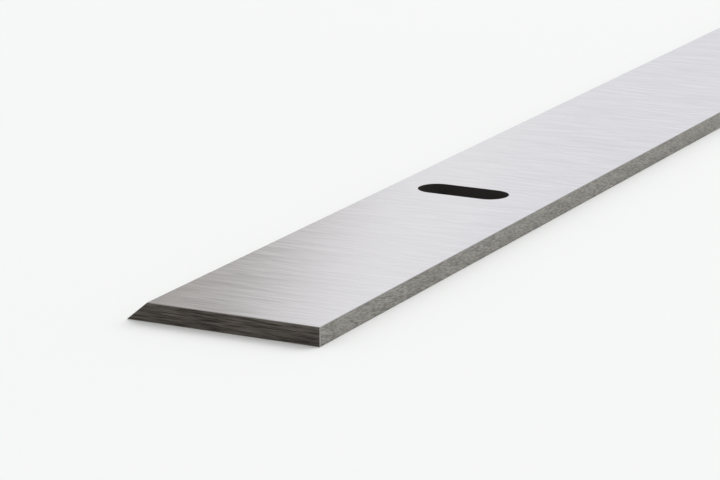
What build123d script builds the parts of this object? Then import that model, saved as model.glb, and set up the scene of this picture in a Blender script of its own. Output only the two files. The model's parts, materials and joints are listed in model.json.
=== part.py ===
from build123d import *
from math import radians, tan
import os

# A planer knife, ground all over from one flat bar of tool steel. Lengths are in millimetres.
# X runs along the knife, Y across it from the cutting edge to the back edge, and Z through it.
# The knife lies on its wide face at Z = 0, with its bevel up, centred on the origin.

# The bar
knife_length = 317.5
knife_width = 32.0
knife_thickness = 3.0

# The bevel, as the angle of the steel left at the cutting edge, in degrees
bevel_angle = 40.0

# The clamping slots, milled across the bar on the middle of its width, one near each end
slot_length = 15.9
slot_width = 6.4
slot_to_end = 80.0

# The stoned edges
edge_break = 0.1

# What follows from these sizes
cutting_edge_y = -knife_width / 2
back_edge_y = knife_width / 2
bevel_run = knife_thickness / tan(radians(bevel_angle))
slot_spacing = knife_length - 2 * slot_to_end

with BuildPart() as planer_knife:
    # The section across the bar: the bevel rises from the cutting edge to its heel on the upper face
    with BuildSketch(Plane.YZ.offset(-knife_length / 2)):
        with BuildLine():
            bevel = Line((cutting_edge_y, 0), (cutting_edge_y + bevel_run, knife_thickness))
            Polyline(bevel @ 1, (back_edge_y, knife_thickness), (back_edge_y, 0), bevel @ 0)
        make_face()
    extrude(amount=knife_length)

    # The grinder leaves the bevel's own edges keen, and every other edge of the bar is stoned
    bevel_face = planer_knife.faces().sort_by(Axis.Y)[0]
    chamfer(planer_knife.edges() - bevel_face.edges(), length=edge_break)

    # The two slots go straight through, with full-round ends
    with BuildSketch():
        with GridLocations(slot_spacing, 0, 2, 1):
            SlotOverall(slot_length, slot_width, rotation=90)
    extrude(amount=knife_thickness, mode=Mode.SUBTRACT)

planer_knife.part.label = "planer_knife"

os.makedirs("parts", exist_ok=True)
export_step(planer_knife.part, "parts/planer_knife.step")
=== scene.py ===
"""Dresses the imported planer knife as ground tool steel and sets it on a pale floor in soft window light."""
import json
import math
from typing import NamedTuple

import bmesh
import bpy
from bpy.props import FloatProperty, FloatVectorProperty, PointerProperty
from bpy.types import Operator, Panel, PropertyGroup
from mathutils import Euler, Matrix, Vector


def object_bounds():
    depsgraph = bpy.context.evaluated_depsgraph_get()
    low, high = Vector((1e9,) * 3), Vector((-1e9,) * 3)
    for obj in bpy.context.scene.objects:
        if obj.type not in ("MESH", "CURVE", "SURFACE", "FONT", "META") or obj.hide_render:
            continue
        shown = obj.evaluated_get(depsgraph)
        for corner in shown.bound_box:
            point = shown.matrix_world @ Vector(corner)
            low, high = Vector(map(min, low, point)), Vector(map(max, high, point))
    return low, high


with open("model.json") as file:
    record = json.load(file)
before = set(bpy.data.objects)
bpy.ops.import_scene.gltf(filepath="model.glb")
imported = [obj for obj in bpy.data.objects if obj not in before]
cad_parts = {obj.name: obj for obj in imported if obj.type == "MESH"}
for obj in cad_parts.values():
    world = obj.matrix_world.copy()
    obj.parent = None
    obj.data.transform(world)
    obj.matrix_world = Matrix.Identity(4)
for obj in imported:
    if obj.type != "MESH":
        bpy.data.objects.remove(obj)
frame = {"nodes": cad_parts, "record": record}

bl_info = {
    "name": "Planer Knife",
    "version": (1, 0, 0),
    "blender": (4, 5, 0),
    "location": "View3D > Sidebar > Knife",
    # The slots' near-black walls are painted shade
    "description": "Gives the planer knife its ground faces, cut ends and slots with painted shade, and lights it",
    "category": "Object",
}

CAD_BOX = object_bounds()
KNIFE = "planer_knife"
MM_PER_M = 1000


class Grinding(NamedTuple):
    """How one kind of face is ground. Its marks are measured against those of the wide faces."""

    spacing: float
    length: float
    relief: float
    fine: float
    clouds: float
    hardness: float
    tint: float
    smooth: float
    rough: float
    seed: float


# Spacing, length and relief are times the wide faces' own.
# Fine and clouds are the shares of hairlines and of broad patches in the shade.
# Hardness is the part of the shade at either end that turns flat.
# Tint is how far the shade turns the colour, and smooth and rough are the least and greatest roughness.
GRINDINGS = {
    "Flats": Grinding(
        spacing=1.0, length=1.0, relief=1.0, fine=0.35, clouds=0.06, hardness=0.0,
        tint=0.1, smooth=0.14, rough=0.18, seed=0.0,
    ),
    "Bevel": Grinding(
        spacing=0.25, length=0.16, relief=0.4, fine=0.0, clouds=0.25, hardness=0.1,
        tint=0.15, smooth=0.26, rough=0.36, seed=11.0,
    ),
    "Back": Grinding(
        spacing=0.15, length=0.13, relief=0.4, fine=0.0, clouds=0.12, hardness=0.1,
        tint=0.48, smooth=0.3, rough=0.42, seed=23.0,
    ),
    "Ends": Grinding(
        spacing=0.085, length=0.5, relief=0.4, fine=0.0, clouds=0.06, hardness=0.1,
        tint=0.85, smooth=0.32, rough=0.46, seed=37.0,
    ),
}

# How much wider and longer each layer of marks is than the group's Spacing and Length.
# The three that make the height also have their share of it.
MARK_LAYERS = ((0.4, 0.45, 0.46), (1.0, 0.8, 0.38), (2.6, 1.2, 0.16))
FINE_LAYER = (0.12, 0.5)
CLOUD_LAYER = (9.0, 3.0)

# The detail of the layers' noise, and the part of its range that a layer spreads from 0 to 1
NOISE_DETAIL = 1.0
NOISE_RANGE = (0.36, 0.64)

# How many times deeper an edge break is than the skin within which a point counts as on a face
SKINS_PER_BREAK = 10.0

# The way across the knife, tipped a little so that it isn't square to the back edge's face
ACROSS = (0.0, 1.0, 0.02)

# A Mix node's sockets for its factor and its two values, for numbers and for colours
MIX_SOCKETS = {"FLOAT": (0, 2, 3), "RGBA": (0, 6, 7)}

FLOOR_SIDES = 96
FLOOR_ROUGHNESS = 0.9
FLOOR_SPECULAR = 0.1

# The camera's sensor in millimetres, and how near and far it sees in metres
SENSOR_WIDTH = 36
NEAREST = 0.01
FARTHEST = 100


def mount(name):
    """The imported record's mount of this name."""
    return next(m for m in frame["record"]["mounts"] if m["name"] == name)


class KnifeFinish(PropertyGroup):
    """Colours and marks of the knife's faces."""

    flat_colour: FloatVectorProperty(
        name="Wide faces",
        description="Colour of the two surface-ground wide faces",
        subtype="COLOR", size=3, min=0, max=1, default=(0.771, 0.767, 0.793),
    )
    bevel_colour: FloatVectorProperty(
        name="Bevel",
        description="Colour of the ground bevel",
        subtype="COLOR", size=3, min=0, max=1, default=(0.57, 0.56, 0.55),
    )
    honed_colour: FloatVectorProperty(
        name="Honed strip",
        description="Colour of the honed strip along the cutting edge",
        subtype="COLOR", size=3, min=0, max=1, default=(0.76, 0.755, 0.76),
    )
    back_colour: FloatVectorProperty(
        name="Back edge",
        description="Colour of the coarsely ground back edge",
        subtype="COLOR", size=3, min=0, max=1, default=(0.28, 0.268, 0.2445),
    )
    end_colour: FloatVectorProperty(
        name="Cut ends",
        description="Colour of the cut-off ends",
        subtype="COLOR", size=3, min=0, max=1, default=(0.0873, 0.0775, 0.0678),
    )
    # The stoned edges are real; their darker colour is partly painted shade, of the burr along the edges
    break_colour_and_shade: FloatVectorProperty(
        name="Stoned edges",
        description="Colour of the narrow stoned edges, darkened as painted shade",
        subtype="COLOR", size=3, min=0, max=1, default=(0.4, 0.39, 0.375),
    )
    # The slot walls' near-black colour is painted shade, for the shade that falls inside the narrow slots
    slot_shade_colour: FloatVectorProperty(
        name="Slot walls",
        description="Near-black colour of the slot walls, painted shade",
        subtype="COLOR", size=3, min=0, max=1, default=(0.013, 0.010, 0.0075),
    )
    edge_break: FloatProperty(
        name="Edge break",
        description="Width of the stoned edges",
        unit="LENGTH", min=0, default=0.0001,
    )
    honed_rise: FloatProperty(
        name="Honed strip's rise",
        description="How far above the lower wide face the honed strip reaches",
        unit="LENGTH", min=0, default=0.0002,
    )
    mark_spacing: FloatProperty(
        name="Mark spacing",
        description="Distance between the grinding marks of the wide faces",
        unit="LENGTH", min=0.00001, default=0.0009,
    )
    mark_length: FloatProperty(
        name="Mark length",
        description="How far a grinding mark of the wide faces runs before it fades",
        unit="LENGTH", min=0.0001, default=0.014,
    )
    mark_relief: FloatProperty(
        name="Mark relief",
        description="Height of the grinding marks of the wide faces",
        unit="LENGTH", min=0, default=0.0000045,
    )
    back_slant: FloatProperty(
        name="Slant on the back edge",
        description="Slope of the marks on the back edge, falling away from the right end",
        default=0.15,
    )
    honed_roughness: FloatProperty(
        name="Honed roughness",
        description="Roughness of the honed strip",
        subtype="FACTOR", min=0, max=1, default=0.16,
    )
    break_roughness: FloatProperty(
        name="Stoned roughness",
        description="Roughness of the stoned edges",
        subtype="FACTOR", min=0, max=1, default=0.3,
    )
    slot_wall_roughness: FloatProperty(
        name="Slot wall roughness",
        description="Roughness of the slot walls",
        subtype="FACTOR", min=0, max=1, default=0.75,
    )
    anisotropy: FloatProperty(
        name="Drawn-out gloss",
        description="How far the gloss is drawn out, at right angles to the way across the knife",
        subtype="FACTOR", min=0, max=1, default=0.75,
    )


class Studio(PropertyGroup):
    """Floor, room light, soft lamp and camera."""

    floor_radius: FloatProperty(
        name="Floor radius",
        description="How far the floor reaches from the knife",
        unit="LENGTH", min=1, default=6,
    )
    floor_colour: FloatVectorProperty(
        name="Floor",
        description="Colour of the floor",
        subtype="COLOR", size=3, min=0, max=1, default=(0.933, 0.945, 0.927),
    )
    left_side: FloatVectorProperty(
        name="Left side",
        description="Light of the room on the camera's left",
        subtype="COLOR", size=3, min=0, max=1, default=(0.717, 0.72, 0.729),
    )
    dark_screen: FloatVectorProperty(
        name="Dark screen",
        description="Light of the dark screen that stands left of the window",
        subtype="COLOR", size=3, min=0, max=1, default=(0.3865, 0.366, 0.339),
    )
    window_side: FloatVectorProperty(
        name="Window",
        description="Light of the room straight ahead of the camera",
        subtype="COLOR", size=3, min=0, soft_max=2, default=(1.061, 1.05, 1.05),
    )
    wall_side: FloatVectorProperty(
        name="Wall",
        description="Light of the room on the camera's right and overhead",
        subtype="COLOR", size=3, min=0, max=1, default=(0.8537, 0.857, 0.877),
    )
    left_end: FloatProperty(
        name="Left side's end",
        description="Turn from the camera's view to where the left side ends, right is positive",
        subtype="ANGLE", default=math.radians(-30),
    )
    dark_start: FloatProperty(
        name="Dark screen's start",
        description="Turn from the camera's view to where the dark screen shows in full, right is positive",
        subtype="ANGLE", default=math.radians(-12),
    )
    dark_end: FloatProperty(
        name="Dark screen's end",
        description="Turn from the camera's view to where the dark screen ends, right is positive",
        subtype="ANGLE", default=math.radians(-1.68),
    )
    window_start: FloatProperty(
        name="Window's start",
        description="Turn from the camera's view to where the window shows in full, right is positive",
        subtype="ANGLE", default=math.radians(0.04),
    )
    window_end: FloatProperty(
        name="Window's end",
        description="Turn from the camera's view to where the window starts to fade, right is positive",
        subtype="ANGLE", default=math.radians(0.7),
    )
    wall_start: FloatProperty(
        name="Wall's start",
        description="Turn from the camera's view to where only the wall is left, right is positive",
        subtype="ANGLE", default=math.radians(2.1),
    )
    room_lean: FloatProperty(
        name="Lean of the room",
        description="How far the window's edges lean over to the left, as a slope",
        default=0.47,
    )
    lamp_distance: FloatProperty(
        name="Lamp's distance",
        description="How far the soft lamp stands from the knife",
        unit="LENGTH", min=0.1, default=7.5,
    )
    lamp_bearing: FloatProperty(
        name="Lamp's bearing",
        description="Turn about the vertical from +X to the lamp",
        subtype="ANGLE", default=math.radians(146.4),
    )
    lamp_rise: FloatProperty(
        name="Lamp's rise",
        description="How far the lamp stands above the floor, seen from the knife",
        subtype="ANGLE", default=math.radians(40.9),
    )
    lamp_width: FloatProperty(
        name="Lamp's width",
        description="Side of the square lamp",
        unit="LENGTH", min=0.01, default=4.9,
    )
    lamp_power: FloatProperty(
        name="Lamp's power",
        description="Power of the lamp",
        unit="POWER", min=0, default=238,
    )
    lens: FloatProperty(
        name="Focal length",
        description="Focal length of the camera",
        unit="CAMERA", default=170.44,
    )
    past_end: FloatProperty(
        name="Past the end",
        description="How far the camera stands past the knife's right end, along X",
        unit="LENGTH", default=0.40853,
    )
    past_edge: FloatProperty(
        name="Past the cutting edge",
        description="How far the camera stands from the cutting edge, along Y",
        unit="LENGTH", default=0.25035,
    )
    height: FloatProperty(
        name="Height",
        description="Height of the camera above the floor",
        unit="LENGTH", default=0.13955,
    )
    heading: FloatProperty(
        name="Heading",
        description="Turn of the camera about the vertical, from looking along +Y",
        subtype="ANGLE", default=math.radians(117.419),
    )
    dip: FloatProperty(
        name="Dip",
        description="How far the camera looks down",
        subtype="ANGLE", default=math.radians(14.961),
    )
    roll: FloatProperty(
        name="Roll",
        description="Turn of the camera about its own view",
        subtype="ANGLE", default=math.radians(-0.177),
    )


# Shader helpers

def new_node(tree, kind, **settings):
    """A new node of this kind with its settings."""
    node = tree.nodes.new(kind)
    for name, value in settings.items():
        setattr(node, name, value)
    return node


def feed(tree, socket, value):
    """Links a socket to an output, or sets its value."""
    if isinstance(value, bpy.types.NodeSocket):
        tree.links.new(value, socket)
    else:
        socket.default_value = value


def calc(tree, operation, *values):
    """The output of a Math node."""
    node = new_node(tree, "ShaderNodeMath", operation=operation)
    for socket, value in zip(node.inputs, values):
        feed(tree, socket, value)
    return node.outputs[0]


def blend(tree, factor, first, second, kind="RGBA"):
    """The output of a Mix node of colours or numbers."""
    node = new_node(tree, "ShaderNodeMix", data_type=kind)
    for place, value in zip(MIX_SOCKETS[kind], (factor, first, second)):
        feed(tree, node.inputs[place], value)
    return next(out for out in node.outputs if out.enabled)


def remap(tree, value, low, high, new_low=0.0, new_high=1.0):
    """A number eased from one range into another."""
    node = new_node(tree, "ShaderNodeMapRange", interpolation_type="SMOOTHSTEP")
    for socket, given in zip(node.inputs, (value, low, high, new_low, new_high)):
        feed(tree, socket, given)
    return node.outputs[0]


def new_group(name, inputs, outputs):
    """An empty shader node group with named sockets, its inputs' outputs and its outputs' inputs."""
    tree = bpy.data.node_groups.new(name, "ShaderNodeTree")
    for socket, kind in inputs.items():
        tree.interface.new_socket(name=socket, in_out="INPUT", socket_type=f"NodeSocket{kind}")
    for socket in outputs:
        tree.interface.new_socket(name=socket, in_out="OUTPUT", socket_type="NodeSocketFloat")
    return tree, new_node(tree, "NodeGroupInput").outputs, new_node(tree, "NodeGroupOutput").inputs


def place_group(tree, group, **values):
    """The outputs of a node group, its inputs set by name, with spaces written as underscores."""
    node = new_node(tree, "ShaderNodeGroup", node_tree=group)
    for name, value in values.items():
        feed(tree, node.inputs[name.replace("_", " ")], value)
    return node.outputs


# The knife's steel

def streaks(tree, given, wider, longer):
    """Streaks along V from 0 to 1, this much wider and longer than the group's Spacing and Length."""
    across = calc(tree, "DIVIDE", given["U"], calc(tree, "MULTIPLY", given["Spacing"], wider))
    along = calc(tree, "DIVIDE", given["V"], calc(tree, "MULTIPLY", given["Length"], longer))
    place = new_node(tree, "ShaderNodeCombineXYZ")
    feed(tree, place.inputs["X"], across)
    feed(tree, place.inputs["Y"], along)
    feed(tree, place.inputs["Z"], calc(tree, "ADD", given["Seed"], wider))
    noise = new_node(tree, "ShaderNodeTexNoise", noise_dimensions="3D")
    feed(tree, noise.inputs["Vector"], place.outputs[0])
    feed(tree, noise.inputs["Scale"], 1.0)
    feed(tree, noise.inputs["Detail"], NOISE_DETAIL)
    return remap(tree, noise.outputs[0], *NOISE_RANGE)


def grinding_marks():
    """Group: straight marks along V, crowded along U, as a shade from 0 to 1 and a height in metres."""
    numbers = ("U", "V", "Spacing", "Length", "Relief", "Fine", "Clouds", "Hardness", "Seed")
    tree, given, made = new_group("Grinding marks", dict.fromkeys(numbers, "Float"), ("Shade", "Height"))
    height = 0.0
    for wider, longer, share in MARK_LAYERS:
        layer = calc(tree, "MULTIPLY", streaks(tree, given, wider, longer), share)
        height = calc(tree, "ADD", height, layer)
    shade = blend(tree, given["Fine"], height, streaks(tree, given, *FINE_LAYER), "FLOAT")
    shade = blend(tree, given["Clouds"], shade, streaks(tree, given, *CLOUD_LAYER), "FLOAT")
    from_top = calc(tree, "SUBTRACT", 1.0, given["Hardness"])
    feed(tree, made["Shade"], remap(tree, shade, given["Hardness"], from_top))
    feed(tree, made["Height"], calc(tree, "MULTIPLY", height, given["Relief"]))
    return tree


def knife_faces():
    """Group: masks of the kinds of faces, from a place on the knife. What no mask takes is a wide face."""
    numbers = (
        "Half Length", "Half Width", "Thickness", "Slot Centre", "Slot Half Width", "Slot Half Length",
        "Honed Rise", "Break",
    )
    tree, given, made = new_group(
        "Knife faces",
        {"Place": "Vector", **dict.fromkeys(numbers, "Float")},
        ("Bevel", "Honed", "Back", "Ends", "Slots", "Breaks"),
    )
    split = new_node(tree, "ShaderNodeSeparateXYZ")
    feed(tree, split.inputs[0], given["Place"])
    x, y, z = split.outputs
    skin = calc(tree, "DIVIDE", given["Break"], SKINS_PER_BREAK)
    from_middle = calc(tree, "ABSOLUTE", x)
    to_end = calc(tree, "SUBTRACT", given["Half Length"], from_middle)
    to_back = calc(tree, "SUBTRACT", given["Half Width"], y)
    to_flat = calc(tree, "MINIMUM", z, calc(tree, "SUBTRACT", given["Thickness"], z))
    ends = calc(tree, "LESS_THAN", to_end, skin)
    back = calc(tree, "LESS_THAN", to_back, skin)
    off_flat = calc(tree, "GREATER_THAN", to_flat, skin)
    off_ends = calc(tree, "SUBTRACT", 1.0, calc(tree, "MAXIMUM", ends, back))
    inside = calc(tree, "MULTIPLY", off_flat, off_ends)

    to_slot = calc(tree, "ABSOLUTE", calc(tree, "SUBTRACT", from_middle, given["Slot Centre"]))
    beside = calc(tree, "LESS_THAN", to_slot, calc(tree, "ADD", given["Slot Half Width"], skin))
    slot_reach = calc(tree, "ADD", given["Slot Half Length"], skin)
    across = calc(tree, "LESS_THAN", calc(tree, "ABSOLUTE", y), slot_reach)
    slots = calc(tree, "MULTIPLY", inside, calc(tree, "MULTIPLY", beside, across))

    front = calc(tree, "LESS_THAN", y, calc(tree, "MULTIPLY", slot_reach, -1.0))
    off_end = calc(tree, "GREATER_THAN", to_end, calc(tree, "ADD", given["Break"], skin))
    bevel = calc(tree, "MULTIPLY", inside, calc(tree, "MULTIPLY", front, off_end))
    honed = calc(tree, "MULTIPLY", bevel, calc(tree, "LESS_THAN", z, given["Honed Rise"]))
    breaks = calc(tree, "SUBTRACT", inside, calc(tree, "ADD", slots, bevel))

    for socket, value in zip(made, (bevel, honed, back, ends, slots, breaks)):
        feed(tree, socket, value)
    return tree


def tinted(tree, colour, shade, depth):
    """A colour that the marks darken and lighten by this depth."""
    dark = [*(c * (1 - depth) for c in colour), 1]
    light = [*(min(1, c * (1 + depth)) for c in colour), 1]
    return blend(tree, shade, dark, light)


def ground_steel(finish):
    """The knife's material: each kind of face with the marks and colour of its own grinding, and painted
    shade on the slot walls and the stoned edges.
    """
    high = CAD_BOX[1]
    slot = mount("slot_right")
    material = bpy.data.materials.new("Ground tool steel")
    material.use_nodes = True
    tree = material.node_tree
    tree.nodes.clear()

    place = new_node(tree, "ShaderNodeTexCoord").outputs["Object"]
    split = new_node(tree, "ShaderNodeSeparateXYZ")
    feed(tree, split.inputs[0], place)
    x, y, z = split.outputs
    faces = place_group(
        tree, knife_faces(), Place=place,
        Half_Length=high.x, Half_Width=high.y, Thickness=high.z,
        Slot_Centre=slot["pos_m"][0],
        Slot_Half_Width=slot["dims"]["hole_r_mm"] / MM_PER_M,
        Slot_Half_Length=slot["dims"]["slot_length_mm"] / MM_PER_M / 2,
        Honed_Rise=finish.honed_rise,
        Break=finish.edge_break,
    )

    # Each kind of ground face, with its colour and the ways across and along its marks
    slanted = calc(tree, "SUBTRACT", z, calc(tree, "MULTIPLY", x, finish.back_slant))
    ground = {
        "Flats": (finish.flat_colour, x, y),
        "Bevel": (finish.bevel_colour, y, x),
        "Back": (finish.back_colour, slanted, x),
        "Ends": (finish.end_colour, z, y),
    }
    marks = grinding_marks()
    looks = {}
    for name, (colour, across, along) in ground.items():
        how = GRINDINGS[name]
        made = place_group(
            tree, marks, U=across, V=along,
            Spacing=finish.mark_spacing * how.spacing,
            Length=finish.mark_length * how.length,
            Relief=finish.mark_relief * how.relief,
            Fine=how.fine, Clouds=how.clouds, Hardness=how.hardness, Seed=how.seed,
        )
        roughness = remap(tree, made["Shade"], 0.0, 1.0, how.smooth, how.rough)
        looks[name] = tinted(tree, colour, made["Shade"], how.tint), roughness, made["Height"]
    looks["Honed"] = [*finish.honed_colour, 1], finish.honed_roughness, 0.0
    # The slot walls are near-black and not metal: painted shade inside the slots
    looks["Slots"] = [*finish.slot_shade_colour, 1], finish.slot_wall_roughness, 0.0
    # The stoned edges' darker colour is partly painted shade, of the burr along the edges
    looks["Breaks"] = [*finish.break_colour_and_shade, 1], finish.break_roughness, 0.0

    colour, roughness, height = looks.pop("Flats")
    for name, (its_colour, its_roughness, its_height) in looks.items():
        colour = blend(tree, faces[name], colour, its_colour)
        roughness = blend(tree, faces[name], roughness, its_roughness, "FLOAT")
        height = blend(tree, faces[name], height, its_height, "FLOAT")

    bump = new_node(tree, "ShaderNodeBump")
    feed(tree, bump.inputs["Strength"], 1.0)
    feed(tree, bump.inputs["Distance"], 1.0)
    feed(tree, bump.inputs["Height"], height)

    # The gloss is drawn out at right angles to the way across: along X, and up and down on the ends
    drawn_out = new_node(tree, "ShaderNodeVectorMath", operation="CROSS_PRODUCT")
    feed(tree, drawn_out.inputs[0], new_node(tree, "ShaderNodeNewGeometry").outputs["True Normal"])
    feed(tree, drawn_out.inputs[1], ACROSS)

    shader = new_node(tree, "ShaderNodeBsdfPrincipled")
    feed(tree, shader.inputs["Base Color"], colour)
    feed(tree, shader.inputs["Roughness"], roughness)
    # The slot walls are not metal, so that their painted shade stays dark
    feed(tree, shader.inputs["Metallic"], calc(tree, "SUBTRACT", 1.0, faces["Slots"]))
    feed(tree, shader.inputs["Anisotropic"], finish.anisotropy)
    feed(tree, shader.inputs["Tangent"], drawn_out.outputs[0])
    feed(tree, shader.inputs["Normal"], bump.outputs[0])
    out = new_node(tree, "ShaderNodeOutputMaterial")
    feed(tree, out.inputs["Surface"], shader.outputs[0])
    return material


class KNIFE_OT_finish(Operator):
    """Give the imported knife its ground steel"""

    bl_idname = "knife.finish"
    bl_label = "Finish the Knife"
    bl_options = {"REGISTER", "UNDO"}

    def execute(self, context):
        knife = frame["nodes"][KNIFE]
        if not knife.material_slots:
            raise RuntimeError("the packed knife has no material slot")
        steel = ground_steel(context.scene.knife_finish)
        for slot in knife.material_slots:
            slot.material = steel
        return {"FINISHED"}


# Stage

def floor_material(colour):
    """A plain matt floor."""
    material = bpy.data.materials.new("Pale floor")
    material.use_nodes = True
    shader = material.node_tree.nodes["Principled BSDF"]
    shader.inputs["Base Color"].default_value = [*colour, 1]
    shader.inputs["Roughness"].default_value = FLOOR_ROUGHNESS
    shader.inputs["Specular IOR Level"].default_value = FLOOR_SPECULAR
    return material


def make_floor(studio, level):
    """A round floor under the knife."""
    mesh = bpy.data.meshes.new("floor")
    shape = bmesh.new()
    bmesh.ops.create_circle(shape, cap_ends=True, segments=FLOOR_SIDES, radius=studio.floor_radius)
    bmesh.ops.translate(shape, verts=shape.verts, vec=(0, 0, level))
    shape.to_mesh(mesh)
    shape.free()
    mesh.materials.append(floor_material(studio.floor_colour))
    floor = bpy.data.objects.new("floor", mesh)
    bpy.context.scene.collection.objects.link(floor)


def make_room(studio):
    """World light: from the left, a pale side, a dark screen, a window ahead and a pale wall."""
    world = bpy.data.worlds.new("Room")
    bpy.context.scene.world = world
    world.use_nodes = True
    tree = world.node_tree
    tree.nodes.clear()
    ray = new_node(tree, "ShaderNodeTexCoord").outputs["Generated"]
    side = new_node(tree, "ShaderNodeVectorMath", operation="DOT_PRODUCT")
    feed(tree, side.inputs[0], ray)
    feed(tree, side.inputs[1], (math.cos(studio.heading), math.sin(studio.heading), studio.room_lean))
    reach = math.cos(studio.dip)
    ahead = studio.room_lean * math.sin(studio.dip)
    light = [*studio.left_side, 1]
    steps = (
        (studio.left_end, studio.dark_start, studio.dark_screen),
        (studio.dark_end, studio.window_start, studio.window_side),
        (studio.window_end, studio.wall_start, studio.wall_side),
    )
    for *turns, colour in steps:
        levels = [reach * math.sin(turn) + ahead for turn in turns]
        light = blend(tree, remap(tree, side.outputs["Value"], *levels), light, [*colour, 1])
    shader = new_node(tree, "ShaderNodeBackground")
    feed(tree, shader.inputs["Color"], light)
    out = new_node(tree, "ShaderNodeOutputWorld")
    feed(tree, out.inputs["Surface"], shader.outputs[0])


def make_lamp(studio):
    """A square soft lamp turned to the knife's middle. The steel doesn't mirror it."""
    lamp = bpy.data.lights.new("soft lamp", "AREA")
    lamp.size = studio.lamp_width
    lamp.energy = studio.lamp_power
    place = Vector((studio.lamp_distance, 0, 0))
    place.rotate(Euler((0, -studio.lamp_rise, studio.lamp_bearing)))
    made = bpy.data.objects.new("soft lamp", lamp)
    made.matrix_world = Matrix.Translation(place) @ (-place).to_track_quat("-Z", "Y").to_matrix().to_4x4()
    made.visible_camera = False
    made.visible_glossy = False
    bpy.context.scene.collection.objects.link(made)


def make_camera(studio):
    """The camera, past the knife's right end and looking back along it."""
    low, high = CAD_BOX
    place = Vector((high.x + studio.past_end, low.y + studio.past_edge, low.z + studio.height))
    lens = bpy.data.cameras.new("camera")
    lens.lens = studio.lens
    lens.sensor_width = SENSOR_WIDTH
    lens.clip_start = NEAREST
    lens.clip_end = FARTHEST
    camera = bpy.data.objects.new("camera", lens)
    camera.matrix_world = (
        Matrix.Translation(place)
        @ Matrix.Rotation(studio.heading, 4, "Z")
        @ Matrix.Rotation(math.pi / 2 - studio.dip, 4, "X")
        @ Matrix.Rotation(studio.roll, 4, "Z")
    )
    bpy.context.scene.collection.objects.link(camera)
    bpy.context.scene.camera = camera


class KNIFE_OT_stage(Operator):
    """Set the floor, the room's light, the lamp and the camera"""

    bl_idname = "knife.stage"
    bl_label = "Set the Stage"
    bl_options = {"REGISTER", "UNDO"}

    def execute(self, context):
        studio = context.scene.knife_studio
        make_floor(studio, CAD_BOX[0].z)
        make_room(studio)
        make_lamp(studio)
        make_camera(studio)
        context.scene.view_settings.view_transform = "Standard"
        return {"FINISHED"}


class KNIFE_PT_panel(Panel):
    """Sizes, colours and steps of the planer knife scene"""

    bl_idname = "KNIFE_PT_panel"
    bl_label = "Planer Knife"
    bl_space_type = "VIEW_3D"
    bl_region_type = "UI"
    bl_category = "Knife"

    def draw(self, context):
        layout = self.layout
        steps = (
            (context.scene.knife_finish, KNIFE_OT_finish),
            (context.scene.knife_studio, KNIFE_OT_stage),
        )
        for values, step in steps:
            box = layout.box()
            for name in values.__annotations__:
                box.prop(values, name)
            box.operator(step.bl_idname)


CLASSES = (KnifeFinish, Studio, KNIFE_OT_finish, KNIFE_OT_stage, KNIFE_PT_panel)


def register():
    for made in CLASSES:
        bpy.utils.register_class(made)
    bpy.types.Scene.knife_finish = PointerProperty(type=KnifeFinish)
    bpy.types.Scene.knife_studio = PointerProperty(type=Studio)


def unregister():
    del bpy.types.Scene.knife_studio
    del bpy.types.Scene.knife_finish
    for made in reversed(CLASSES):
        bpy.utils.unregister_class(made)


def main():
    register()
    bpy.ops.knife.finish()
    bpy.ops.knife.stage()


if __name__ == "__main__":
    main()
